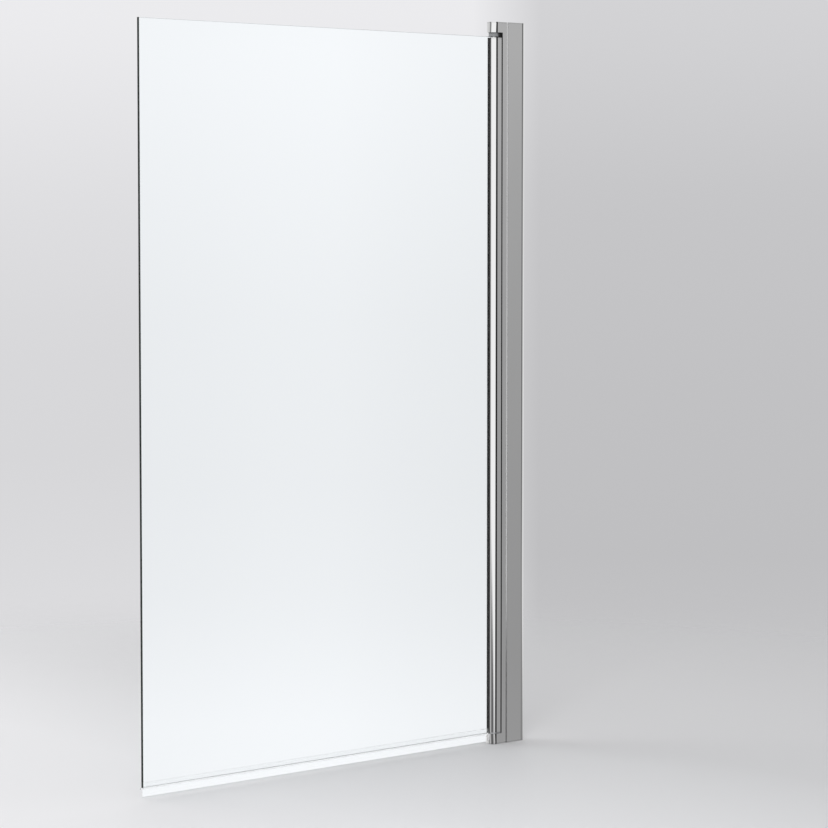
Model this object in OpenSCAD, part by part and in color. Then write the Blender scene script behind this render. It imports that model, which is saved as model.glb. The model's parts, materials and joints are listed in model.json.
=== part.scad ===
// Pivoting bath screen: a frameless pane in a slim barrel that swings on a rise-and-fall hinge
// Millimetres; X runs to the wall, whose face is x = 0, and Z is up, with z = 0 at mid height
// The closed pane lies in the plane y = 0 and reaches along -X; it opens towards -Y

/* [Overall] */
// Height of the fixed profile over both end caps
profile_h = 1400; // [1000:10:1800]
// Distance from the wall to the free edge of the closed pane
reach = 892; // [600:1:1100]
// Distance from the wall to the pivot axis
pivot_from_wall = 72; // [70:1:90]

/* [Pane] */
// Thickness of the pane
glass_t = 6; // [5:0.5:8]
// Width of the ground arris round the pane
arris = 0.6; // [0.3:0.1:1.2]
// Height of the pane's top edge above the barrel
pane_proud = 2; // [0.5:0.25:2.5]
// Length of one setting block behind the pane
block_len = 60; // [30:5:100]
// Thickness of a setting block
block_t = 0.9; // [0.5:0.1:1.4]
// Distance of the end blocks from the ends of the barrel
block_end = 150; // [80:10:300]

/* [Barrel] */
// Radius of the round nose, which is also half the thickness of the barrel and the post
nose_r = 13; // [12.5:0.5:15]
// Radius of the barrel's back about the pivot axis
barrel_back_r = 16; // [15.5:0.5:17.5]
// Rounding where the barrel's sides meet its back
barrel_edge_r = 1; // [0.4:0.1:1.6]
// Wall of the barrel
barrel_wall = 1.6; // [1.2:0.1:2]
// Width of the pocket for the pane and its gaskets
pocket_w = 10; // [9:0.5:11]
// Wall round the bore on the pivot axis
port_wall = 1.5; // [1:0.1:1.8]
// Distance of the screw ports behind the pivot axis
port_back = 8.5; // [8:0.1:9]
// Distance of the screw ports from the middle plane
port_side = 8.5; // [8:0.1:8.8]
// Thickness of the plates on the barrel's ends
plate_t = 3; // [2.6:0.1:4]
// Thickness of the ledge that the pane stands on
ledge_t = 1; // [0.6:0.1:1.6]
// Length of the barrel's end screws
plate_screw_len = 14; // [8:1:20]

/* [Post] */
// Wall of the post
post_wall = 1.8; // [1.4:0.1:2.2]
// Wall of the hollow face that the barrel turns in
socket_wall = 1.8; // [1.4:0.1:2.4]
// Running gap between the barrel's back and the hollow face
socket_gap = 1.8; // [1.2:0.1:2.4]
// Space between the post's tail and the wall, for the heads of the wall screws
tail_space = 14; // [10:1:18]
// Height of the knuckles at the post's ends
knuckle_h = 20; // [19:1:30]
// Space above the barrel for its rise
rise_space = 10; // [9.5:0.5:14]
// Gap between the bottom knuckle and the barrel
foot_gap = 0.3; // [0.2:0.05:0.6]
// Distance of the knuckle screws behind the pivot axis
knuckle_screw_back = 11.2; // [10.8:0.1:11.6]
// Radius of the knuckle screws
knuckle_screw_r = 1.95; // [1.5:0.05:2.2]
// Length of the knuckle screws
knuckle_screw_len = 7; // [5:0.5:7.5]

/* [Wall channel] */
// Wall of the channel
channel_wall = 1.6; // [1.2:0.1:2.2]
// Web of the channel, which lies on the wall
web_t = 2.2; // [1.8:0.1:3]
// Slip between the post and the channel on each side
slip = 0.2; // [0.1:0.05:0.4]
// Depth of the channel from the wall to its lips
channel_d = 48; // [44:1:50]
// Distance from the wall to the centre of the channel's round end
round_centre = 12.5; // [10:0.5:13]
// Rounding of the channel's lips
lip_r = 0.5; // [0.3:0.1:1.2]
// Radius of the holes for the wall screws
wall_hole_r = 2.75; // [2.25:0.25:3.25]
// Distance of the outer wall screws from the ends of the profile
wall_hole_end = 100; // [60:10:200]
// Radius of the shank of the screws that hold the post in the channel
side_screw_r = 1.7; // [1.4:0.1:2]
// Length of those screws under the head
side_screw_len = 9; // [6:0.5:12]
// Radius of their heads
side_head_r = 3.5; // [3:0.1:4]
// Height of their heads
side_head_h = 2.2; // [1.6:0.1:2.6]
// Distance of the end ones from the ends of the profile
side_screw_end = 250; // [150:10:400]
// Wall of the covers over their heads
cover_wall = 0.8; // [0.6:0.1:1.2]

/* [End caps] */
// Thickness of the end caps
cap_t = 2; // [1.6:0.1:2.6]
// Length of the spigot that holds a cap in the post
spigot_len = 8; // [4:0.5:12]
// Wall of that spigot
spigot_wall = 1.6; // [1:0.1:2.4]

/* [Rise and fall hinge] */
// Diameter of the spindle and the top pivot pin
pin_d = 6; // [5:0.1:6.4]
// Radial clearance of the turning fits on the spindle and the pin
pin_fit = 0.05; // [0.02:0.01:0.1]
// Rise of the pane for each radian of swing
rise_rate = 4.5; // [3:0.25:4.75]
// Swing of the pane from closed to open in degrees
swing = 90; // [60:5:100]
// Number of ramps round each cam
ramps = 3; // [3:1:4]
// Vertical gap between the ramps
ramp_gap = 0.2; // [0.1:0.05:0.3]
// Angle by which the cams stand off each other at the closed stop
stop_angle = 3; // [2:0.5:5]
// Angle that the steep face between two ramps takes up
steep_angle = 1; // [0.5:0.25:1.5]
// Outer radius of the cams
cam_r = 9.2; // [8.6:0.1:9.5]
// Distance across the flats of the fixed cam's base
cam_flats = 15; // [14:0.5:17]
// Thickness of the fixed cam's base
cam_base_t = 2.5; // [2:0.1:3]
// Thickness of the round rim that ends the base under the ramps
cam_rim_t = 0.5; // [0.3:0.1:1]
// Thickness of the floor of the bottom knuckle's insert
floor_t = 2.5; // [2:0.1:3]
// Radial play of the moving cam in the insert
cam_play = 0.2; // [0.1:0.05:0.3]
// Radius of the pegs that drive the moving cam
peg_r = 1.5; // [1.2:0.1:1.7]
// Distance of the pegs behind the pivot axis
peg_back = 5.4; // [5:0.1:5.6]
// Distance of the pegs from the middle plane
peg_side = 4.2; // [3.8:0.1:4.6]
// Length of the spindle inside the barrel
spindle_up = 45; // [25:1:80]
// Radius of the spindle's head
head_r = 5; // [4.4:0.1:6]
// Thickness of the spindle's head
head_t = 1.4; // [1:0.1:1.6]
// Length of the top pivot pin inside the barrel
pin_down = 40; // [20:1:80]
// Outer radius of the pin's collar
collar_r = 5; // [4.2:0.1:5.2]
// Outer diameter of the rising sleeve
sleeve_d = 19; // [17:0.5:19.5]
// Radial play of the sleeve in the top knuckle's insert
sleeve_play = 0.1; // [0.05:0.05:0.2]
// Width of the sleeve's key
key_w = 3; // [2:0.5:4]
// Height of the sleeve's key over its round surface
key_h = 1.8; // [1.2:0.1:2.4]
// Free height left above the sleeve when the pane is fully open
top_spare = 0.6; // [0.3:0.1:1.1]

/* [Seals] */
// Half width of the glazing gaskets' lips
lip_half = 5.7; // [5.5:0.1:6.4]
// Thickness of those lips
lip_t = 0.6; // [0.4:0.1:1]
// Width of the strip in the hollow face
strip_w = 4; // [3:0.5:6]
// Gap between that strip and the barrel's back
strip_gap = 0.3; // [0.25:0.05:0.5]
// Wall of the bottom seal
seal_t = 1; // [0.8:0.1:1.4]
// Height of the bottom seal's clip on the pane
seal_leg = 9; // [6:0.5:14]
// Height of the wiper's edge above the foot of the profile
seal_foot = 5; // [2:0.5:8]
// Reach of the bottom seal's drip fin
drip = 4; // [2:0.5:6]

/* [Hidden] */
$fn = 96;
// Gap left between pieces that are fitted hand-tight
seat = 0.05;
// Overlap of solids that are fused and overrun of cutters
over = 1;
// Play of inserts and spigots in the hollows that they fill
plug_play = 0.1;
// Levels
z_foot = -profile_h / 2;
z_head = profile_h / 2;
z_low_knuckle = z_foot + knuckle_h;
z_high_knuckle = z_head - knuckle_h;
z_barrel = z_low_knuckle + foot_gap;
z_barrel_top = z_high_knuckle - rise_space;
z_pane = z_barrel + ledge_t + seat;
z_pane_top = z_barrel_top + pane_proud;
rise = rise_rate * swing * PI / 180;
// Radii and places about the pivot axis
socket_r = barrel_back_r + socket_gap;
bore_r = pin_d / 2 + pin_fit;
port_r = bore_r + port_wall;
pane_edge = port_r + block_t + 2 * seat;
sleeve_r = sleeve_d / 2;
tail = pivot_from_wall - tail_space;
channel_half = nose_r + slip + channel_wall;
side_screw_x = (channel_d + tail_space) / 2;
plate_screw_r = 1.45;
plate_head_r = 2.8;
plate_head_t = 1.7;
port_boss_r = 3.8;
// Cam levels
z_floor = z_foot + cap_t + seat + floor_t;
z_ramp = z_floor + cam_base_t;
z_rim = z_ramp - cam_rim_t;
ramp_angle = 360 / ramps;
ramp_h = rise_rate * ramp_angle * PI / 180;
ramp_steps = 20;

polished = [0.78, 0.79, 0.80];
steel = [0.62, 0.63, 0.65];
nylon = [0.55, 0.56, 0.57];
rubber = [0.09, 0.09, 0.10];
clear_pane = [0.80, 0.90, 0.92, 0.35];
clear_vinyl = [0.88, 0.92, 0.94, 0.60];

// Moves its children to the pivot axis
module at_pivot() {
    translate([-pivot_from_wall, 0, 0]) children();
}

// Extrudes a plan between two levels
module between(low, high) {
    translate([0, 0, low]) linear_extrude(height = high - low) children();
}

// Repeats its children on both sides of the middle plane
module both_sides() {
    children();
    mirror([0, 1, 0]) children();
}

// Round nose with parallel sides, a given length behind the pivot axis
module bullet(half, back) {
    circle(r = half);
    translate([0, -half]) square([back, 2 * half]);
}

// Plan of the barrel, with its back struck from the pivot axis
module barrel_plan(inset = 0) {
    intersection() {
        bullet(nose_r - inset, barrel_back_r);
        circle(r = barrel_back_r - inset);
    }
}

// What the rounding takes off where the barrel's side meets its back
module barrel_edge_waste() {
    inner_r = barrel_back_r - barrel_edge_r;
    centre = [sqrt(pow(inner_r, 2) - pow(nose_r - barrel_edge_r, 2)), nose_r - barrel_edge_r];
    aim = centre / inner_r;
    out = 2 * barrel_edge_r;
    difference() {
        polygon([centre, centre + [0, out], centre + [out * aim[0], out], centre + out * aim]);
        translate(centre) circle(r = barrel_edge_r);
    }
}

// Plan of the pocket that takes the pane and its gaskets
module pocket_plan() {
    translate([-nose_r - over, -pocket_w / 2]) square([nose_r + over - port_r, pocket_w]);
}

// Plan shared by the barrel and its end plates, without their screw holes
module barrel_shape(pocket = true) {
    difference() {
        barrel_plan();
        both_sides() barrel_edge_waste();
        circle(r = bore_r);
        if (pocket) pocket_plan();
    }
}

// Places of the barrel's screw ports
module at_ports() {
    both_sides() translate([port_back, port_side, 0]) children();
}

// Plan of the chambers beside the pocket and behind the pivot bore
module barrel_chambers() {
    block_w = pocket_w + 2 * barrel_wall;
    difference() {
        barrel_plan(inset = barrel_wall);
        translate([-nose_r, -block_w / 2]) square([nose_r - port_r + barrel_wall, block_w]);
        circle(r = port_r);
        translate([0, -barrel_wall / 2]) square([barrel_back_r, barrel_wall]);
        at_ports() circle(r = port_boss_r);
    }
}

module barrel() {
    color(polished) at_pivot() between(z_barrel + plate_t + seat, z_barrel_top - plate_t - seat)
        difference() {
            barrel_shape();
            barrel_chambers();
            at_ports() circle(r = plate_screw_r + seat);
        }
}

// End plate lying on z = 0 with its outer face down; the ledge closes the foot of the pocket
module barrel_plate(ledge) {
    difference() {
        union() {
            between(ledge, plate_t) barrel_shape();
            between(0, max(ledge, seat)) barrel_shape(pocket = ledge == 0);
        }
        at_ports() {
            translate([0, 0, -over]) cylinder(r = plate_screw_r + 0.2, h = plate_t + 2 * over);
            plate_screw_head(0.1);
        }
    }
}

// Countersunk head with its flat face on z = 0
module plate_screw_head(play = 0) {
    cylinder(r1 = plate_head_r + play, r2 = plate_screw_r + play, h = plate_head_t);
    if (play > 0) translate([0, 0, -over]) cylinder(r = plate_head_r + play, h = over);
}

// Countersunk screw with its head's face on z = 0 and a cross recess
module plate_screw() {
    difference() {
        union() {
            plate_screw_head();
            cylinder(r = plate_screw_r, h = plate_screw_len);
        }
        for (turn = [0, 90]) rotate(turn)
            translate([-1.4, -0.25, -over]) cube([2.8, 0.5, over + 0.9]);
    }
}

module bottom_barrel_plate() {
    color(steel) at_pivot() translate([0, 0, z_barrel]) difference() {
        barrel_plate(ledge_t);
        both_sides() translate([peg_back, peg_side, -over])
            cylinder(r = peg_r + seat, h = plate_t + 2 * over);
    }
}

module top_barrel_plate() {
    color(polished) at_pivot() translate([0, 0, z_barrel_top]) mirror([0, 0, 1]) barrel_plate(0);
}

module bottom_plate_screws() {
    color(steel) at_pivot() translate([0, 0, z_barrel + seat]) at_ports() plate_screw();
}

module top_plate_screws() {
    color(steel) at_pivot() translate([0, 0, z_barrel_top - seat]) mirror([0, 0, 1])
        at_ports() plate_screw();
}

// Rectangle with bevelled corners, centred on the origin
module bevelled(size) {
    x = size[0] / 2;
    y = size[1] / 2;
    polygon([
        [-x, arris - y], [arris - x, -y], [x - arris, -y], [x, arris - y],
        [x, y - arris], [x - arris, y], [arris - x, y], [-x, y - arris]
    ]);
}

module pane() {
    width = reach - pivot_from_wall - pane_edge;
    height = z_pane_top - z_pane;
    color(clear_pane) translate([-reach + width / 2, 0, (z_pane + z_pane_top) / 2])
        intersection() {
            linear_extrude(height = height, center = true) bevelled([width, glass_t]);
            rotate([90, 0, 90]) linear_extrude(height = width, center = true)
                bevelled([glass_t, height]);
        }
}

// Blocks between the pane's inner edge and the foot of the pocket
module setting_blocks() {
    places = [z_barrel + block_end, (z_barrel + z_barrel_top) / 2, z_barrel_top - block_end];
    color(rubber) at_pivot() for (z = places)
        translate([-port_r - seat - block_t, -glass_t / 2, z - block_len / 2])
            cube([block_t, glass_t, block_len]);
}

// Place along X of a circle about the pivot axis, on the nose side
function on_nose(radius, side) = -sqrt(radius * radius - side * side);

// Plan of the gasket on the room side: a body in the pocket and a lip over its edge
module gasket_plan() {
    inner = glass_t / 2 + seat;
    outer = pocket_w / 2 - seat;
    under = nose_r + 0.2;
    polygon([
        [-port_r - seat, -inner], [on_nose(under + lip_t, inner) - 0.3, -inner],
        [on_nose(under + lip_t, outer), -outer], [on_nose(under + lip_t, lip_half), -lip_half],
        [on_nose(under, lip_half), -lip_half], [on_nose(under, outer), -outer],
        [-port_r - seat, -outer]
    ]);
}

module front_gasket() {
    color(rubber) at_pivot() between(z_pane, z_barrel_top - seat) gasket_plan();
}

module back_gasket() {
    color(rubber) at_pivot() mirror([0, 1, 0]) between(z_pane, z_barrel_top - seat) gasket_plan();
}

// Plan of the post, with all its faces moved in by inset
module post_plan(inset = 0) {
    bullet(nose_r - inset, tail - inset);
}

module post_section() {
    difference() {
        post_plan();
        difference() {
            post_plan(post_wall);
            difference() {
                circle(r = socket_r + socket_wall);
                circle(r = socket_r);
                translate([-2 * socket_r, -2 * socket_r]) square([2 * socket_r, 4 * socket_r]);
            }
        }
    }
}

// Levels of the screws through the channel's side
side_screw_levels = [z_foot + side_screw_end, 0, z_head - side_screw_end];

// Puts its children on the channel's hidden face, with Z pointing out of it
module at_side_screws() {
    for (z = side_screw_levels)
        translate([-side_screw_x, channel_half, z]) rotate([-90, 0, 0]) children();
}

// Puts its children on the post's hidden face beside the knuckles, with Z pointing out of it
module at_knuckle_screws() {
    for (z = [z_foot + knuckle_h / 2, z_head - knuckle_h / 2])
        translate([knuckle_screw_back, nose_r, z]) rotate([-90, 0, 0]) children();
}

module hinge_post() {
    color(polished) difference() {
        at_pivot() difference() {
            between(z_foot + cap_t + seat, z_head - cap_t - seat) post_section();
            translate([0, 0, z_low_knuckle])
                cylinder(r = socket_r, h = z_high_knuckle - z_low_knuckle);
            at_knuckle_screws() translate([0, 0, -2 * post_wall])
                cylinder(r = knuckle_screw_r + seat, h = 2 * post_wall + over);
        }
        at_side_screws() translate([0, 0, -side_screw_len - over])
            cylinder(r = side_screw_r + seat, h = side_screw_len + over);
    }
}

// Plan of the channel's outside, with all its faces moved in by inset
module channel_plan(inset = 0) {
    half = channel_half - inset;
    intersection() {
        union() {
            translate([-round_centre, 0]) circle(r = half);
            translate([-channel_d, -half]) square([channel_d - round_centre, 2 * half]);
        }
        translate([-channel_d, -half]) square([channel_d, 2 * half]);
    }
}

// What the rounding takes off the corner of a lip
module lip_waste() {
    difference() {
        translate([-channel_d - over, channel_half - lip_r])
            square([lip_r + over, lip_r + over]);
        translate([lip_r - channel_d, channel_half - lip_r]) circle(r = lip_r);
    }
}

module wall_channel() {
    wall_hole_levels = [for (k = [-1, -1 / 3, 1 / 3, 1]) k * (z_head - wall_hole_end)];
    color(polished) difference() {
        between(z_foot + cap_t + seat, z_head - cap_t - seat) difference() {
            channel_plan();
            intersection() {
                channel_plan(channel_wall);
                translate([-channel_d - over, -channel_half])
                    square([channel_d + over - web_t, 2 * channel_half]);
            }
            both_sides() lip_waste();
        }
        for (z = wall_hole_levels) translate([-web_t - over, 0, z])
            rotate([0, 90, 0]) cylinder(r = wall_hole_r, h = web_t + 2 * over);
        at_side_screws() translate([0, 0, -channel_wall - over])
            cylinder(r = side_screw_r + seat, h = channel_wall + 2 * over);
    }
}

// Self-tapping screw standing in its hole, with its domed head above z = 0
module side_screw() {
    dome_r = (pow(side_head_r, 2) + pow(side_head_h, 2)) / (2 * side_head_h);
    difference() {
        union() {
            intersection() {
                translate([0, 0, side_head_h - dome_r]) sphere(r = dome_r);
                cylinder(r = side_head_r, h = side_head_h);
            }
            translate([0, 0, -side_screw_len]) cylinder(r = side_screw_r, h = side_screw_len + over / 2);
        }
        for (turn = [0, 90]) rotate(turn)
            translate([-1.8, -0.35, side_head_h - 1.3]) cube([3.6, 0.7, side_head_h]);
    }
}

module post_side_screws() {
    color(steel) at_side_screws() translate([0, 0, seat]) side_screw();
}

// Hollow cover over a screw head
module side_screw_covers() {
    inner_r = side_head_r + 0.6;
    inner_h = side_head_h + 0.3;
    edge = cover_wall * 0.75;
    color(polished) at_side_screws() translate([0, 0, seat]) difference() {
        rotate_extrude() {
            square([inner_r + cover_wall - edge, inner_h + cover_wall]);
            square([inner_r + cover_wall, inner_h + cover_wall - edge]);
            translate([inner_r + cover_wall - edge, inner_h + cover_wall - edge]) intersection() {
                circle(r = edge);
                square(edge);
            }
        }
        translate([0, 0, -over]) cylinder(r = inner_r, h = inner_h + over);
    }
}

// End cap lying under z = 0, with its spigot standing up into the post
module end_cap() {
    spigot_from = socket_r + socket_wall + 2 * plug_play;
    spigot_to = tail - post_wall - plug_play;
    spigot_half = nose_r - post_wall - plug_play;
    between(-cap_t, 0) {
        at_pivot() post_plan();
        channel_plan();
    }
    at_pivot() between(-over / 2, spigot_len) difference() {
        translate([spigot_from, -spigot_half]) square([spigot_to - spigot_from, 2 * spigot_half]);
        translate([spigot_from + spigot_wall, spigot_wall - spigot_half])
            square([spigot_to - spigot_from - 2 * spigot_wall, 2 * (spigot_half - spigot_wall)]);
    }
}

module bottom_end_cap() {
    color(polished) translate([0, 0, z_foot + cap_t]) end_cap();
}

module top_end_cap() {
    color(polished) translate([0, 0, z_head - cap_t]) mirror([0, 0, 1]) end_cap();
}

// Plan of the inserts that fill the post's nose at the knuckles
module insert_plan() {
    intersection() {
        bullet(nose_r - post_wall - plug_play, socket_r);
        circle(r = socket_r - plug_play);
    }
}

// Round bar with two flats
module flatted(r, flats, h) {
    intersection() {
        cylinder(r = r, h = h);
        translate([-2 * r, -flats / 2, 0]) cube([4 * r, flats, h]);
    }
}

module bottom_knuckle_insert() {
    z_under = z_foot + cap_t + seat;
    color(nylon) at_pivot() difference() {
        between(z_under, z_low_knuckle) insert_plan();
        translate([0, 0, z_under - over]) cylinder(r = bore_r, h = knuckle_h + over);
        translate([0, 0, z_under - over]) cylinder(r = head_r + plug_play, h = head_t + seat + over);
        translate([0, 0, z_floor]) flatted(cam_r + seat, cam_flats + 2 * seat, knuckle_h);
        translate([0, 0, z_rim - seat]) cylinder(r = cam_r + cam_play, h = knuckle_h);
        at_knuckle_screws() translate([0, 0, -knuckle_screw_len - over])
            cylinder(r = knuckle_screw_r + seat, h = knuckle_screw_len + 2 * over);
    }
}

module top_knuckle_insert() {
    color(nylon) at_pivot() difference() {
        between(z_high_knuckle, z_head - cap_t - seat) insert_plan();
        between(z_high_knuckle - over, z_head) {
            circle(r = sleeve_r + sleeve_play);
            translate([0, -key_w / 2 - sleeve_play])
                square([sleeve_r + key_h + 2 * sleeve_play, key_w + 2 * sleeve_play]);
        }
        at_knuckle_screws() translate([0, 0, -knuckle_screw_len - over])
            cylinder(r = knuckle_screw_r + seat, h = knuckle_screw_len + 2 * over);
    }
}

// Set screws that lock the inserts in the post, each with a hexagon socket
module knuckle_screws() {
    color(steel) at_pivot() at_knuckle_screws() translate([0, 0, -knuckle_screw_len - 0.4])
        difference() {
            cylinder(r = knuckle_screw_r, h = knuckle_screw_len);
            translate([0, 0, knuckle_screw_len - 2])
                cylinder(r = knuckle_screw_r * 0.58, h = 2 + over, $fn = 6);
        }
}

// Strip along the hollow face that closes the gap behind the barrel
module socket_strip() {
    color(rubber) at_pivot() between(z_low_knuckle + over, z_high_knuckle - over) intersection() {
        difference() {
            circle(r = socket_r - seat);
            circle(r = barrel_back_r + strip_gap);
        }
        translate([0, -strip_w / 2]) square([2 * socket_r, strip_w]);
    }
}

module bottom_spindle() {
    z_under = z_foot + cap_t + seat;
    color(steel) at_pivot() {
        translate([0, 0, z_under]) cylinder(r = head_r, h = head_t);
        between(z_under, z_barrel + spindle_up - 0.5) circle(r = pin_d / 2);
        translate([0, 0, z_barrel + spindle_up - 0.5])
            cylinder(r1 = pin_d / 2, r2 = pin_d / 2 - 0.5, h = 0.5);
    }
}

// Height on a ramp at an angle from its foot
function climb(angle) = rise_rate * angle * PI / 180;

// Angles from a first to a last one, in equal steps
function steps(from, to) = [for (k = [0:ramp_steps]) from + (to - from) * k / ramp_steps];

// Ring with a flat face at one level and, facing it, one set of ramps for each [angle, height]
// list; the short diagonals lie so that a facet never stands proud of the true ramp
module ramp_ring(flat_z, ramp) {
    count = ramps * len(ramp);
    inner = pin_d / 4;
    outer = cam_r + over;
    up = flat_z < ramp[0][1];
    points = [
        for (turn = [0:ramps - 1]) for (at = ramp)
            let (a = at[0] + turn * ramp_angle)
                for (p = [[inner, flat_z], [outer, flat_z], [outer, at[1]], [inner, at[1]]])
                    [p[0] * cos(a), p[0] * sin(a), p[1]]
    ];
    faces = [
        for (k = [0:count - 1]) for (e = [0:3])
            let (
                a = 4 * k + e, b = 4 * k + (e + 1) % 4,
                c = 4 * ((k + 1) % count) + e, d = 4 * ((k + 1) % count) + (e + 1) % 4
            )
                each (up ? [[a, b, c], [b, d, c]] : [[a, d, b], [a, c, d]])
    ];
    polyhedron(points = points, faces = faces, convexity = 4);
}

module fixed_cam() {
    ramp = [for (a = steps(0, ramp_angle - steep_angle)) [a, z_ramp + climb(a)]];
    color(nylon) at_pivot() difference() {
        union() {
            translate([0, 0, z_floor]) flatted(cam_r, cam_flats, cam_base_t - cam_rim_t / 2);
            intersection() {
                ramp_ring(z_rim - over, ramp);
                translate([0, 0, z_rim]) cylinder(r = cam_r, h = 2 * ramp_h);
            }
        }
        translate([0, 0, z_floor - over]) cylinder(r = bore_r, h = knuckle_h + over);
    }
}

module moving_cam() {
    z_low = z_ramp + ramp_gap;
    z_back = z_low + ramp_h;
    ramp = concat(
        [for (a = steps(stop_angle, ramp_angle)) [a, z_low + climb(a)]],
        [[ramp_angle + stop_angle - steep_angle, z_back]]
    );
    color(nylon) at_pivot() difference() {
        union() {
            intersection() {
                ramp_ring(z_back + over, ramp);
                translate([0, 0, z_low]) cylinder(r = cam_r, h = ramp_h + over / 2);
            }
            between(z_back, z_barrel - seat) circle(r = cam_r);
            both_sides() translate([peg_back, peg_side, z_back])
                cylinder(r = peg_r, h = z_barrel + plate_t - seat - z_back);
        }
        translate([0, 0, z_low - over]) cylinder(r = bore_r, h = knuckle_h + over);
    }
}

// Pin in the top of the barrel, with the collar that the sleeve rests on
module top_pivot_pin() {
    z_collar = z_barrel_top + seat;
    z_tip = z_head - cap_t - rise - top_spare - 0.5;
    color(steel) at_pivot() {
        between(z_barrel_top - pin_down, z_tip) circle(r = pin_d / 2);
        between(z_collar, z_pane_top + 0.2) circle(r = collar_r);
    }
}

// Sleeve that rises with the barrel and is kept from turning by its key
module rising_sleeve() {
    color(nylon) at_pivot()
        between(z_pane_top + 0.2 + seat, z_head - cap_t - rise - top_spare) difference() {
            union() {
                circle(r = sleeve_r);
                translate([0, -key_w / 2]) square([sleeve_r + key_h, key_w]);
            }
            circle(r = bore_r);
        }
}

// Section of the clear seal: a clip on the pane's foot, a wiper and a drip fin
module seal_section() {
    inner = glass_t / 2 + seat;
    outer = inner + seal_t;
    web_top = z_pane - seat;
    web = web_top - seal_t;
    difference() {
        translate([web, -outer]) square([seal_leg + seal_t, 2 * outer]);
        translate([web_top, -inner]) square([seal_leg + over, 2 * inner]);
    }
    translate([z_foot + seal_foot, -seal_t / 2])
        square([web - z_foot - seal_foot + seal_t / 2, seal_t]);
    translate([web_top, outer - 1.2 * seal_t]) rotate(135) square([drip * sqrt(2), seal_t]);
}

module bottom_seal() {
    start = pivot_from_wall + nose_r + lip_t + over;
    color(clear_vinyl) translate([-reach, 0, 0]) rotate([0, 90, 0]) mirror([1, 0, 0])
        linear_extrude(height = reach - start) seal_section();
}

wall_channel();
hinge_post();
top_end_cap();
bottom_end_cap();
post_side_screws();
side_screw_covers();
top_knuckle_insert();
bottom_knuckle_insert();
knuckle_screws();
socket_strip();
bottom_spindle();
fixed_cam();
rising_sleeve();
pane();
barrel();
front_gasket();
back_gasket();
setting_blocks();
top_barrel_plate();
top_plate_screws();
bottom_barrel_plate();
bottom_plate_screws();
top_pivot_pin();
moving_cam();
bottom_seal();
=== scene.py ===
import json
import math

import bpy
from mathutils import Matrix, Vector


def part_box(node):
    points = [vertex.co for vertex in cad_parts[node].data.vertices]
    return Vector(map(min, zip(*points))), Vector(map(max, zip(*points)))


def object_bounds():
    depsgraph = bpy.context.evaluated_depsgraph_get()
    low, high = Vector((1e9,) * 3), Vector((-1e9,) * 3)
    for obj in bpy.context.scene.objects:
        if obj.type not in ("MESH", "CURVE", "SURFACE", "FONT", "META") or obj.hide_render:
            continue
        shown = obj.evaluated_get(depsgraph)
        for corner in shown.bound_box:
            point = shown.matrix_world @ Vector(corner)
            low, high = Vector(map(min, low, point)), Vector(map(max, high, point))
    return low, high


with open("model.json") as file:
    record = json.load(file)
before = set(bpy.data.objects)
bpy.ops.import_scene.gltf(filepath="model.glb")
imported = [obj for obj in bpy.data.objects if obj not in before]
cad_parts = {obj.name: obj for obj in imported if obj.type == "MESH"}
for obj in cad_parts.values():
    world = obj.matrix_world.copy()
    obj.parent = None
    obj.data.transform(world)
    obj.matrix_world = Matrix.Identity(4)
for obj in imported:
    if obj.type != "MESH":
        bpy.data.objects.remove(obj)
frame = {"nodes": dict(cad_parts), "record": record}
nodes = frame["nodes"]
cad_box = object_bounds()
cad_middle = (cad_box[0] + cad_box[1]) / 2

# Places and sizes are in metres, angles in degrees, and colours are linear

# Camera, as found from the photograph's vanishing points and the height of the profile. It is
# tilted down a little, so that its shift stays small
CAMERA_PLACE = (-3.558, -3.981, 0.324)
CAMERA_TURN = -39.548
CAMERA_TILT = -3.24
CAMERA_SHIFT = -0.05
# Width of its sensor, and its lens, in millimetres
SENSOR = 36.0
LENS = 118.82

# Soft lamps: (name, place, side of the square, watts)
LAMPS = [
    ("key", (-2.6, -2.4, 2.6), 1.6, 60),
    ("fill", (-1.8, 2.6, 1.6), 2.0, 30),
]

# Floor, just under the foot of the profile: its side, and the distances at which it fades out
FLOOR_SIZE = 12.0
FLOOR_DROP = 0.0005
FLOOR_SOLID = 0.9
FLOOR_GONE = 2.6
# Its tone from the free side of the pane to the hinge side, darker on the hinge side as painted shade:
# (place along X, tone)
FLOOR_SHADED_TONES = [(-0.7, 0.77), (0.15, 0.61)]
# How much stronger its blue is, and its roughness
FLOOR_BLUE = 1.015
FLOOR_ROUGHNESS = 0.6
# Share of the floor that still shows through the clear pieces
FLOOR_THROUGH = 0.2

# Values of a noise texture between which tone and roughness change
NOISE_SPAN = (0.3, 0.7)
# Faint clouds on bright metal: clouds per metre, their own span, and how much darker they are
CLOUDS = (9, 9, 3)
CLOUD_SPAN = (0.35, 0.65)
CLOUD_FACTOR = 0.985

# Hollow face of the post, in which the barrel turns, left as drawn: an arc about the pivot axis,
# in flat strips that lie inside its radius by about this much, within this margin
SWING = next(j for j in frame["record"]["behaviour"]["joints"] if j["name"] == "screen_swing")
PIVOT_X = SWING["pos_m"][0]
HOLLOW_RADIUS = 0.0178
HOLLOW_HALF_WIDTH = 0.0128
STRIP_INSIDE = 0.00006
STRIP_MARGIN = 0.00012
# Painted shade: the hollow face's tone is dark for the shade in the gap between post and barrel, and it
# is also duller
HOLLOW_SHADE_TONE = (0.10, 0.10, 0.102, 1)
HOLLOW_ROUGHNESS = 0.5
# Small rounded corners of the wall channel's lips, rougher and painted darker: painted shade that dims
# the highlight along them
LIP_SIZE = 0.0007
LIP_SHADE_TONE = (0.53, 0.53, 0.535, 1)
LIP_ROUGHNESS = 0.4

# Glass: its polished faces, and how far inside them the ground edges begin
GLASS_IOR = 1.5
GLASS_TONE = (0.985, 0.992, 0.992, 1)
FACE_MARGIN = 0.00001
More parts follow.
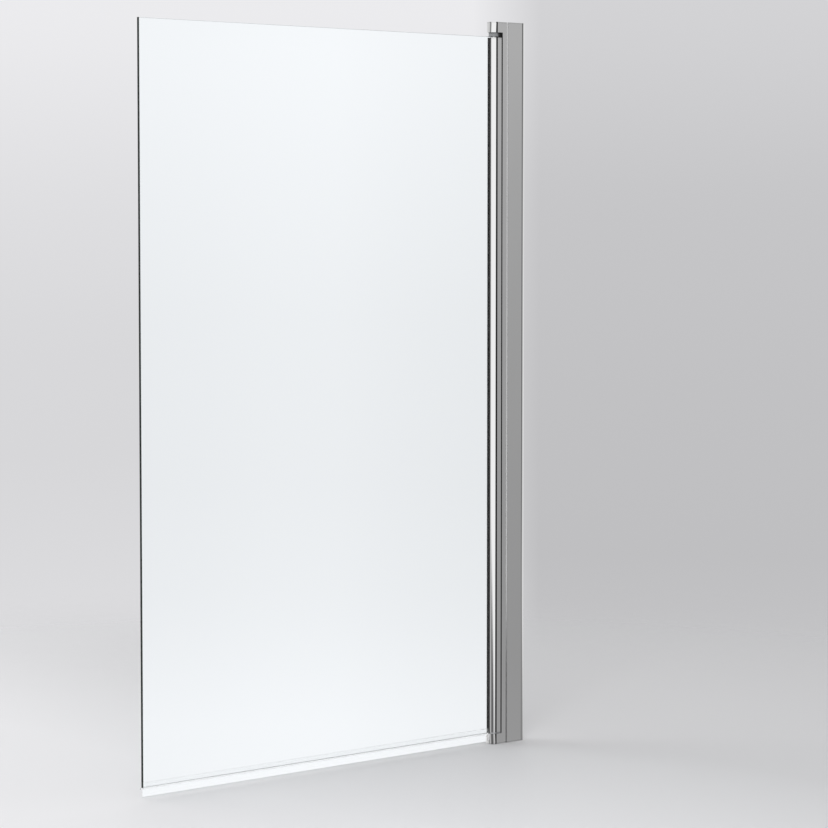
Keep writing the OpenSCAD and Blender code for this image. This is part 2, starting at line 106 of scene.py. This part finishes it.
# Its ground edges: tone of upright ones, painted near black as shade, and of level ones, roughness, and
# tint of their gloss
EDGE_UPRIGHT_SHADE = (0.012, 0.020, 0.018, 1)
EDGE_LEVEL = (0.94, 0.96, 0.955, 1)
EDGE_ROUGHNESS = 0.25
EDGE_GLOSS = (0.15, 0.17, 0.17, 1)
# Gain with which the bevels of the top edge, half level, count as level
BEVEL_GAIN = 1.5
# Clear vinyl refracts less here than the real one, so that its edges show as faintly as they should
VINYL_IOR = 1.25
VINYL_TONE = (0.99, 0.993, 0.993, 1)
# Share of the lamps' light that glass and vinyl let through
GLASS_LETS = (0.90, 0.93, 0.93, 1)
VINYL_LETS = (0.85, 0.88, 0.88, 1)

# Nodes with round faces: all that are metal, and the sleeve
ROUND_SLOTS = ("polished_profile", "chromed_caps", "steel")
ROUND_NODES = ("rising_sleeve",)
# Distance within which their points are one, and the angle from which an edge is sharp
WELD_DISTANCE = 0.000002
SHARP_ANGLE = 30
# Weight at which the largest faces at a point decide its normal
FACE_WEIGHT = 100

# What polished metal sees round it: (azimuth, tone)
STUDIO = [
    (-180, 0.26), (-176, 0.38), (-170, 0.6), (-162, 1.0), (-91, 1.0), (-87.2, 0.9), (-86.8, 0.42),
    (-85.1, 0.42), (-84.6, 0.02), (-54.5, 0.02), (-53, 0.4), (-43, 0.4), (-40.5, 0.05), (-31, 0.05),
    (-22, 0.5), (-8, 0.55), (6, 0.85), (40, 0.85), (81, 0.8), (84.5, 0.45), (87.4, 0.45), (90.5, 0.79),
    (120, 0.74), (131, 0.64), (152, 0.68), (163, 0.5), (170, 0.2), (180, 0.22),
]
# The same low down, towards the floor
STUDIO_LOW = [
    (-180, 0.7), (-172, 0.6), (-160, 0.4), (-150, 0.18), (-135, 0.11), (-123, 0.12), (-114, 0.38),
    (-98, 0.5), (-86, 0.32), (-76, 0.2), (-58, 0.22), (-54, 0.37), (-43, 0.37), (-30, 0.24),
    (-10, 0.26), (40, 0.3), (70, 0.6), (105, 0.55), (122, 0.32), (136, 0.3), (152, 0.62), (170, 0.74),
]
# Elevation of the edge between the two at azimuth 0, its change for each degree, and half its blur
LOW_EDGE = -15.38
LOW_EDGE_SLOPE = -0.0525
LOW_EDGE_BLUR = 1.3
# How much it is raised towards the hinge side, and the middle and half width of those azimuths
RAISED_BY = 6.4
RAISED_MIDDLE = 10.0
RAISED_HALF = 51.0
# Side panel that the flat faces mirror: (elevation, tone), and the azimuths where it stands
PANEL = [
    (-12, 0.36), (-9, 0.335), (-6, 0.35), (-2, 0.388), (0.4, 0.414), (3.5, 0.475), (14, 0.5),
]
PANEL_TURN = [(-54, 0.0), (-52, 1.0), (-44, 1.0), (-42, 0.0)]
# What shows through the pane: (elevation, level on screen), and its tint
THROUGH = [(-10.5, 246), (-8, 238), (-5.5, 235.5), (-2, 237), (0.4, 241), (3.3, 246)]
THROUGH_TINT = (0.978, 1.0, 1.026)
# How much darker that is towards the hinge and the free edge: (azimuth, factor)
THROUGH_SIDES = [(48, 0.95), (49.6, 0.96), (52, 1.0), (55, 1.0), (57, 0.98), (62, 1.0)]
# Azimuths between which it counts; elsewhere the backdrop shows, made paler by this factor
THROUGH_TURN = [(40, 0.0), (46, 1.0), (64, 1.0), (72, 0.0)]
THROUGH_PALER = 1.07
# Backdrop on the free side of the pane and on the hinge side, in the same way
BACKDROP_FREE = [(-10.5, 230), (-7.8, 219), (-5, 215), (-2.5, 216.5), (0.4, 223), (4, 235.5), (12, 238)]
BACKDROP_HINGE = [(-13, 203), (-7, 191), (-3.8, 193), (0.4, 198), (3.9, 210), (12, 222)]
BACKDROP_TINT = (1.0, 0.998, 1.022)
# Azimuths between which the one gives way to the other, and the same on the far side
BACKDROP_TURN = [(-160, 1.0), (-100, 0.0), (48.2, 0.0), (49.1, 1.0)]
# Light from all round on dull surfaces, and the gain on what gloss sees
SOFT_LIGHT = (0.72, 0.72, 0.7272, 1)
GLOSS_GAIN = 1.07


# Node helpers


def feed(tree, socket, value):
    """Joins a socket to another one, or sets it to a value."""
    if isinstance(value, bpy.types.NodeSocket):
        tree.links.new(value, socket)
    else:
        socket.default_value = value


def add(tree, kind, *in_order, **by_name):
    """A new node, its inputs fed in their order or by name, in which _ stands for a space."""
    made = tree.nodes.new(kind)
    for socket, value in zip(made.inputs, in_order):
        feed(tree, socket, value)
    for name, value in by_name.items():
        feed(tree, made.inputs[name.replace("_", " ")], value)
    return made


def maths(tree, operation, *values):
    """The result of one mathematical operation."""
    made = add(tree, "ShaderNodeMath", *values)
    made.operation = operation
    return made.outputs[0]


def times(tree, first, second):
    """The product of two colours."""
    made = add(tree, "ShaderNodeVectorMath", first, second)
    made.operation = "MULTIPLY"
    return made.outputs[0]


def mix(tree, factor, first, second):
    """A colour between two others."""
    made = tree.nodes.new("ShaderNodeMix")
    made.data_type = "RGBA"
    for name, value in (("Factor_Float", factor), ("A_Color", first), ("B_Color", second)):
        feed(tree, next(s for s in made.inputs if s.identifier == name), value)
    return next(s for s in made.outputs if s.identifier == "Result_Color")


def mix_shaders(tree, factor, first, second):
    """A shader between two others."""
    return add(tree, "ShaderNodeMixShader", factor, first, second).outputs[0]


def map_range(tree, value, low, high, to_low=0.0, to_high=1.0, smooth=False):
    """A number's place between two others, as a place between two more."""
    made = add(tree, "ShaderNodeMapRange", value, low, high, to_low, to_high)
    made.interpolation_type = "SMOOTHSTEP" if smooth else "LINEAR"
    return made.outputs[0]


def ramp(tree, factor, stops):
    """Colour along a ramp of (place from 0 to 1, tone or colour) stops."""
    made = add(tree, "ShaderNodeValToRGB", factor)
    elements = made.color_ramp.elements
    elements[0].position, elements[1].position = 0.0, 1.0
    for k, (place, tone) in enumerate(stops):
        element = elements[k] if k < 2 else elements.new(place)
        element.position = place
        element.color = (*tone, 1) if isinstance(tone, tuple) else (tone, tone, tone, 1)
    return made.outputs["Color"]


def xyz(tree, kind):
    """X, Y and Z of a kind of texture coordinate."""
    vector = add(tree, "ShaderNodeTexCoord").outputs[kind]
    return add(tree, "ShaderNodeSeparateXYZ", vector).outputs


def stretched_noise(tree, scale, detail=2.0):
    """Noise with its own scale along each axis of the row frame, per metre."""
    place = add(tree, "ShaderNodeTexCoord").outputs["Object"]
    scaled = add(tree, "ShaderNodeMapping", Vector=place, Scale=scale).outputs[0]
    return add(tree, "ShaderNodeTexNoise", Vector=scaled, Scale=1.0, Detail=detail).outputs["Fac"]


def two_tones(tree, noise, low, high, span=NOISE_SPAN):
    """Colour that follows noise from one tone to another."""
    return ramp(tree, noise, zip(span, (low, high)))


def by_noise(tree, noise, low, high):
    """A number that follows noise from one value to another."""
    return map_range(tree, noise, *NOISE_SPAN, low, high)


def bump(tree, height, strength, distance):
    """Normals of a surface with small bumps."""
    return add(tree, "ShaderNodeBump", Height=height, Strength=strength, Distance=distance).outputs[0]


def principled(tree, **inputs):
    """The usual shader of a surface, its inputs fed by name."""
    return add(tree, "ShaderNodeBsdfPrincipled", **inputs).outputs[0]


def make_material(name, make_shader):
    """A new material with the shader that a function makes in its node tree."""
    material = bpy.data.materials.new(name)
    material.use_nodes = True
    tree = material.node_tree
    for old in list(tree.nodes):
        if old.type != "OUTPUT_MATERIAL":
            tree.nodes.remove(old)
    shader = make_shader(tree)
    output = next(n for n in tree.nodes if n.type == "OUTPUT_MATERIAL")
    tree.links.new(shader, output.inputs["Surface"])
    return material


# Materials


def in_hollow(tree):
    """1 on the post's hollow face, which lies on a circle about the pivot axis, and 0 elsewhere."""
    x, y, _ = xyz(tree, "Object")
    back = maths(tree, "SUBTRACT", x, PIVOT_X)
    square = maths(tree, "ADD", maths(tree, "MULTIPLY", back, back), maths(tree, "MULTIPLY", y, y))
    radius = maths(tree, "SQRT", square)
    near = maths(tree, "COMPARE", radius, HOLLOW_RADIUS - STRIP_INSIDE, STRIP_MARGIN)
    return maths(tree, "MULTIPLY", near, maths(tree, "COMPARE", y, 0.0, HOLLOW_HALF_WIDTH))


def in_lip(tree):
    """1 on the rounded corners of the channel's lips, and 0 elsewhere."""
    x, y, _ = xyz(tree, "Object")
    lo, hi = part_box("wall_channel")
    front = maths(tree, "LESS_THAN", x, lo.x + LIP_SIZE)
    side = maths(tree, "GREATER_THAN", maths(tree, "ABSOLUTE", y), hi.y - LIP_SIZE)
    return maths(tree, "MULTIPLY", front, side)


def clouded(tree, tone, low, high):
    """Colour with faint clouds, and a roughness that follows them from low to high."""
    clouds = stretched_noise(tree, scale=CLOUDS)
    darker = tuple(CLOUD_FACTOR * part for part in tone)
    return two_tones(tree, clouds, darker, tone, CLOUD_SPAN), by_noise(tree, clouds, low, high)


def changed(tree, mark, colour, roughness, new_colour, new_roughness):
    """Colour and roughness that become new ones where a mark is 1."""
    colour = mix(tree, mark, colour, new_colour)
    roughness = map_range(tree, mark, 0.0, 1.0, roughness, new_roughness)
    return colour, roughness


def lined_metal(tree, colour, roughness, lines):
    """Bright metal with fine lines in it, so many per metre along each axis."""
    grain = stretched_noise(tree, scale=lines, detail=3.0)
    return principled(
        tree,
        Base_Color=colour,
        Metallic=1.0,
        Roughness=roughness,
        Normal=bump(tree, grain, strength=0.05, distance=0.0001),
    )


def polished_profile(tree):
    """Extrusions with lines along them; the hollow face is duller and painted dark as shade, and the
    lips' corners are painted darker as shade over their highlight.
    """
    looks = clouded(tree, tone=(0.81, 0.81, 0.814), low=0.02, high=0.04)
    # Painted shade: the hollow face turns dark
    looks = changed(tree, in_hollow(tree), *looks, HOLLOW_SHADE_TONE, HOLLOW_ROUGHNESS)
    # Painted shade: the lips' corners turn darker, dimming their highlight
    looks = changed(tree, in_lip(tree), *looks, LIP_SHADE_TONE, LIP_ROUGHNESS)
    return lined_metal(tree, *looks, lines=(900, 900, 5))


def chromed_caps(tree):
    """Caps, covers and the upper end plate, with a faint grain."""
    looks = clouded(tree, tone=(0.73, 0.73, 0.735), low=0.03, high=0.05)
    return lined_metal(tree, *looks, lines=(60, 60, 60))


def steel(tree):
    """Plain stainless steel with turned rings."""
    rings = stretched_noise(tree, scale=(500, 500, 2600), detail=3.0)
    return principled(
        tree,
        Base_Color=(0.62, 0.63, 0.65, 1),
        Metallic=1.0,
        Roughness=by_noise(tree, rings, low=0.2, high=0.36),
        Normal=bump(tree, rings, strength=0.1, distance=0.0001),
    )


def grey_nylon(tree):
    """Moulded nylon with a fine grain and faint clouds, its grey darkened in part as painted shade from
    the knuckle above.
    """
    grain = stretched_noise(tree, scale=(1600, 1600, 1600))
    clouds = stretched_noise(tree, scale=(60, 60, 60))
    return principled(
        tree,
        # Painted shade: these greys are partly the nylon's own and partly darker for the knuckle's
        # shade
        Base_Color=two_tones(tree, clouds, low=(0.24, 0.246, 0.252), high=(0.29, 0.297, 0.304)),
        Roughness=by_noise(tree, clouds, low=0.38, high=0.5),
        Normal=bump(tree, grain, strength=0.12, distance=0.0002),
    )


def black_rubber(tree):
    """Extruded rubber with lines along its length."""
    lines = stretched_noise(tree, scale=(1500, 1500, 12))
    return principled(
        tree,
        Base_Color=two_tones(tree, lines, low=0.022, high=0.034),
        Roughness=by_noise(tree, lines, low=0.42, high=0.6),
        Normal=bump(tree, lines, strength=0.15, distance=0.0002),
    )


def lit_through(tree, shader, lets):
    """The shader of a clear material, which lets a share of the lamps' light through."""
    shadow = add(tree, "ShaderNodeLightPath").outputs["Is Shadow Ray"]
    return mix_shaders(tree, shadow, shader, add(tree, "ShaderNodeBsdfTransparent", lets).outputs[0])


def clear_glass(tree):
    """Clear glass with polished faces, and with ground edges that are a little dull, the upright ones
    painted near black as shade.
    """
    lo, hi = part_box("pane")
    across = maths(tree, "ABSOLUTE", xyz(tree, "Object")["Y"])
    edge = maths(tree, "LESS_THAN", across, (hi.y - lo.y) / 2 - FACE_MARGIN)
    upward = xyz(tree, "Normal")["Z"]
    bevel = maths(tree, "MULTIPLY", upward, BEVEL_GAIN)
    level = maths(tree, "MAXIMUM", maths(tree, "ABSOLUTE", upward), bevel)
    # Painted shade: upright ground edges get a near-black tone, level ones stay pale
    ground = mix(tree, level, EDGE_UPRIGHT_SHADE, EDGE_LEVEL)
    shader = principled(
        tree,
        Base_Color=mix(tree, edge, GLASS_TONE, ground),
        Roughness=maths(tree, "MULTIPLY", edge, EDGE_ROUGHNESS),
        IOR=GLASS_IOR,
        Specular_Tint=mix(tree, edge, (1, 1, 1, 1), EDGE_GLOSS),
        Transmission_Weight=1.0,
    )
    return lit_through(tree, shader, GLASS_LETS)


def clear_vinyl(tree):
    """Soft clear extrusion with faint lines along it."""
    lines = stretched_noise(tree, scale=(4, 900, 900))
    shader = principled(
        tree,
        Base_Color=VINYL_TONE,
        Roughness=by_noise(tree, lines, low=0.05, high=0.12),
        IOR=VINYL_IOR,
        Transmission_Weight=0.97,
        Normal=bump(tree, lines, strength=0.15, distance=0.0002),
    )
    return lit_through(tree, shader, VINYL_LETS)


SHADERS = {
    "polished_profile": polished_profile,
    "chromed_caps": chromed_caps,
    "steel": steel,
    "grey_nylon": grey_nylon,
    "black_rubber": black_rubber,
    "clear_glass": clear_glass,
    "clear_vinyl": clear_vinyl,
}
MATERIALS = {slot: make_material(slot, make_shader) for slot, make_shader in SHADERS.items()}


def smooth_rounds(obj):
    """Smooth shading on round faces, with flat faces kept flat by the size of each face."""
    for face in obj.data.polygons:
        face.use_smooth = True
    weld = obj.modifiers.new("weld", "WELD")
    weld.merge_threshold = WELD_DISTANCE
    split = obj.modifiers.new("split", "EDGE_SPLIT")
    split.split_angle = math.radians(SHARP_ANGLE)
    weighted = obj.modifiers.new("weighted", "WEIGHTED_NORMAL")
    weighted.mode = "FACE_AREA"
    weighted.weight = FACE_WEIGHT


def dress_nodes():
    """Gives each CAD node its slot's material, and smooth shading where it is round."""
    for part in frame["record"]["subparts"]:
        obj = nodes[part["node"]]
        obj.data.materials.clear()
        obj.data.materials.append(MATERIALS[part["material_slot"]])
        if part["material_slot"] in ROUND_SLOTS or part["node"] in ROUND_NODES:
            smooth_rounds(obj)


# Studio


def azimuth_ramp(tree, azimuth, stops):
    """A ramp whose places are azimuths from -180 to 180 degrees."""
    return ramp(tree, azimuth, [((at + 180) / 360, tone) for at, tone in stops])


def elevation_ramp(tree, elevation, stops):
    """A ramp whose places are elevations from -90 to 90 degrees."""
    return ramp(tree, elevation, [((at + 90) / 180, tone) for at, tone in stops])


def shown(level):
    """Linear tone that shows on screen at a level from 0 to 255, by the sRGB curve."""
    part = level / 255
    return part / 12.92 if part <= 0.04045 else ((part + 0.055) / 1.055) ** 2.4


def shown_ramp(tree, elevation, stops, tint):
    """A ramp over elevations whose tones are levels on screen, with one tint for all."""
    tones = [(at, tuple(shown(level) * part for part in tint)) for at, level in stops]
    return elevation_ramp(tree, elevation, tones)


def mirrored(tree, azimuth, elevation):
    """What gloss sees: tones round the object, others below a soft edge, and the side panel."""
    azimuth_deg = maths(tree, "MULTIPLY_ADD", azimuth, 360.0, -180.0)
    elevation_deg = maths(tree, "MULTIPLY_ADD", elevation, 180.0, -90.0)
    edge = maths(tree, "MULTIPLY_ADD", azimuth_deg, LOW_EDGE_SLOPE, LOW_EDGE)
    raised = maths(tree, "COMPARE", azimuth_deg, RAISED_MIDDLE, RAISED_HALF)
    edge = maths(tree, "MULTIPLY_ADD", raised, RAISED_BY, edge)
    over = maths(tree, "SUBTRACT", elevation_deg, edge)
    above = map_range(tree, over, -LOW_EDGE_BLUR, LOW_EDGE_BLUR, smooth=True)
    around = azimuth_ramp(tree, azimuth, STUDIO)
    panel = elevation_ramp(tree, elevation, PANEL)
    high = mix(tree, azimuth_ramp(tree, azimuth, PANEL_TURN), around, panel)
    return mix(tree, above, azimuth_ramp(tree, azimuth, STUDIO_LOW), high)


def backdrop(tree, azimuth, elevation):
    """What the camera sees round the object."""
    hinge_side = shown_ramp(tree, elevation, BACKDROP_HINGE, BACKDROP_TINT)
    free_side = shown_ramp(tree, elevation, BACKDROP_FREE, BACKDROP_TINT)
    return mix(tree, azimuth_ramp(tree, azimuth, BACKDROP_TURN), hinge_side, free_side)


def seen_through(tree, azimuth, elevation, behind):
    """What shows through the clear pieces."""
    pane = shown_ramp(tree, elevation, THROUGH, THROUGH_TINT)
    pane = times(tree, pane, azimuth_ramp(tree, azimuth, THROUGH_SIDES))
    elsewhere = times(tree, behind, (THROUGH_PALER, THROUGH_PALER, THROUGH_PALER))
    return mix(tree, azimuth_ramp(tree, azimuth, THROUGH_TURN), elsewhere, pane)


def make_world():
    """Plain pale surroundings: one tone for the camera, one through glass, and a studio for gloss."""
    world = bpy.data.worlds.new("studio")
    bpy.context.scene.world = world
    world.use_nodes = True
    tree = world.node_tree
    tree.nodes.clear()
    # Direction of the ray, whose azimuth and elevation are each a place from 0 to 1
    x, y, z = xyz(tree, "Generated")
    azimuth = maths(tree, "MULTIPLY_ADD", maths(tree, "ARCTAN2", y, x), 1 / math.tau, 0.5)
    elevation = maths(tree, "MULTIPLY_ADD", maths(tree, "ARCSINE", z), 1 / math.pi, 0.5)
    ray = add(tree, "ShaderNodeLightPath").outputs
    behind = backdrop(tree, azimuth, elevation)
    through = seen_through(tree, azimuth, elevation, behind)
    colour = mix(tree, ray["Is Glossy Ray"], SOFT_LIGHT, mirrored(tree, azimuth, elevation))
    colour = mix(tree, ray["Is Transmission Ray"], colour, through)
    colour = mix(tree, ray["Is Camera Ray"], colour, behind)
    gain = map_range(tree, ray["Is Glossy Ray"], 0.0, 1.0, 1.0, GLOSS_GAIN)
    background = add(tree, "ShaderNodeBackground", Color=colour, Strength=gain)
    output = tree.nodes.new("ShaderNodeOutputWorld")
    tree.links.new(background.outputs[0], output.inputs["Surface"])


def floor_shader(tree):
    """Pale floor with painted shade towards the hinge side, clear at a distance so that it joins the
    backdrop, and not mirrored.
    """
    place = add(tree, "ShaderNodeTexCoord").outputs["Object"]
    far = add(tree, "ShaderNodeVectorMath", place)
    far.operation = "LENGTH"
    fade = map_range(tree, far.outputs["Value"], FLOOR_SOLID, FLOOR_GONE, smooth=True)
    ray = add(tree, "ShaderNodeLightPath").outputs
    hidden = maths(tree, "MULTIPLY", ray["Is Transmission Ray"], 1 - FLOOR_THROUGH)
    hidden = maths(tree, "MAXIMUM", hidden, ray["Is Glossy Ray"])
    hidden = maths(tree, "MAXIMUM", hidden, fade)
    # Places along X are counted from the floor's own middle here
    (free_x, free_tone), (hinge_x, hinge_tone) = FLOOR_SHADED_TONES
    ends = (free_x - cad_middle.x, hinge_x - cad_middle.x)
    # Painted shade: the floor darkens towards the hinge side
    tone = map_range(tree, xyz(tree, "Object")["X"], *ends, free_tone, hinge_tone)
    blue = maths(tree, "MULTIPLY", tone, FLOOR_BLUE)
    colour = add(tree, "ShaderNodeCombineColor", Red=tone, Green=tone, Blue=blue).outputs[0]
    solid = principled(tree, Base_Color=colour, Roughness=FLOOR_ROUGHNESS)
    return mix_shaders(tree, hidden, solid, add(tree, "ShaderNodeBsdfTransparent").outputs[0])


def make_floor():
    """Plain floor just under the foot."""
    bpy.ops.mesh.primitive_plane_add(size=FLOOR_SIZE)
    floor = bpy.context.object
    floor.name = "floor"
    floor.location = (cad_middle.x, 0, cad_box[0].z - FLOOR_DROP)
    floor.data.materials.append(make_material("floor", floor_shader))


def soft_lamp(name, place, size, power):
    """Square soft lamp that lights the object but is not itself mirrored."""
    data = bpy.data.lights.new(name, "AREA")
    data.shape = "SQUARE"
    data.size = size
    data.energy = power
    lamp = bpy.data.objects.new(name, data)
    bpy.context.scene.collection.objects.link(lamp)
    lamp.location = place
    lamp.rotation_euler = (cad_middle - lamp.location).to_track_quat("-Z", "Y").to_euler()
    for ray in ("camera", "glossy", "transmission"):
        setattr(lamp, "visible_" + ray, False)


def make_camera():
    """Camera at the photograph's viewing angle."""
    data = bpy.data.cameras.new("camera")
    data.sensor_width = SENSOR
    data.lens = LENS
    data.shift_y = CAMERA_SHIFT
    camera = bpy.data.objects.new("camera", data)
    bpy.context.scene.collection.objects.link(camera)
    camera.location = CAMERA_PLACE
    camera.rotation_euler = (math.radians(90 + CAMERA_TILT), 0, math.radians(CAMERA_TURN))
    bpy.context.scene.camera = camera


make_camera()
dress_nodes()
make_world()
make_floor()
for name, place, size, power in LAMPS:
    soft_lamp(name, place, size, power)

bpy.context.scene.view_settings.view_transform = "Standard"
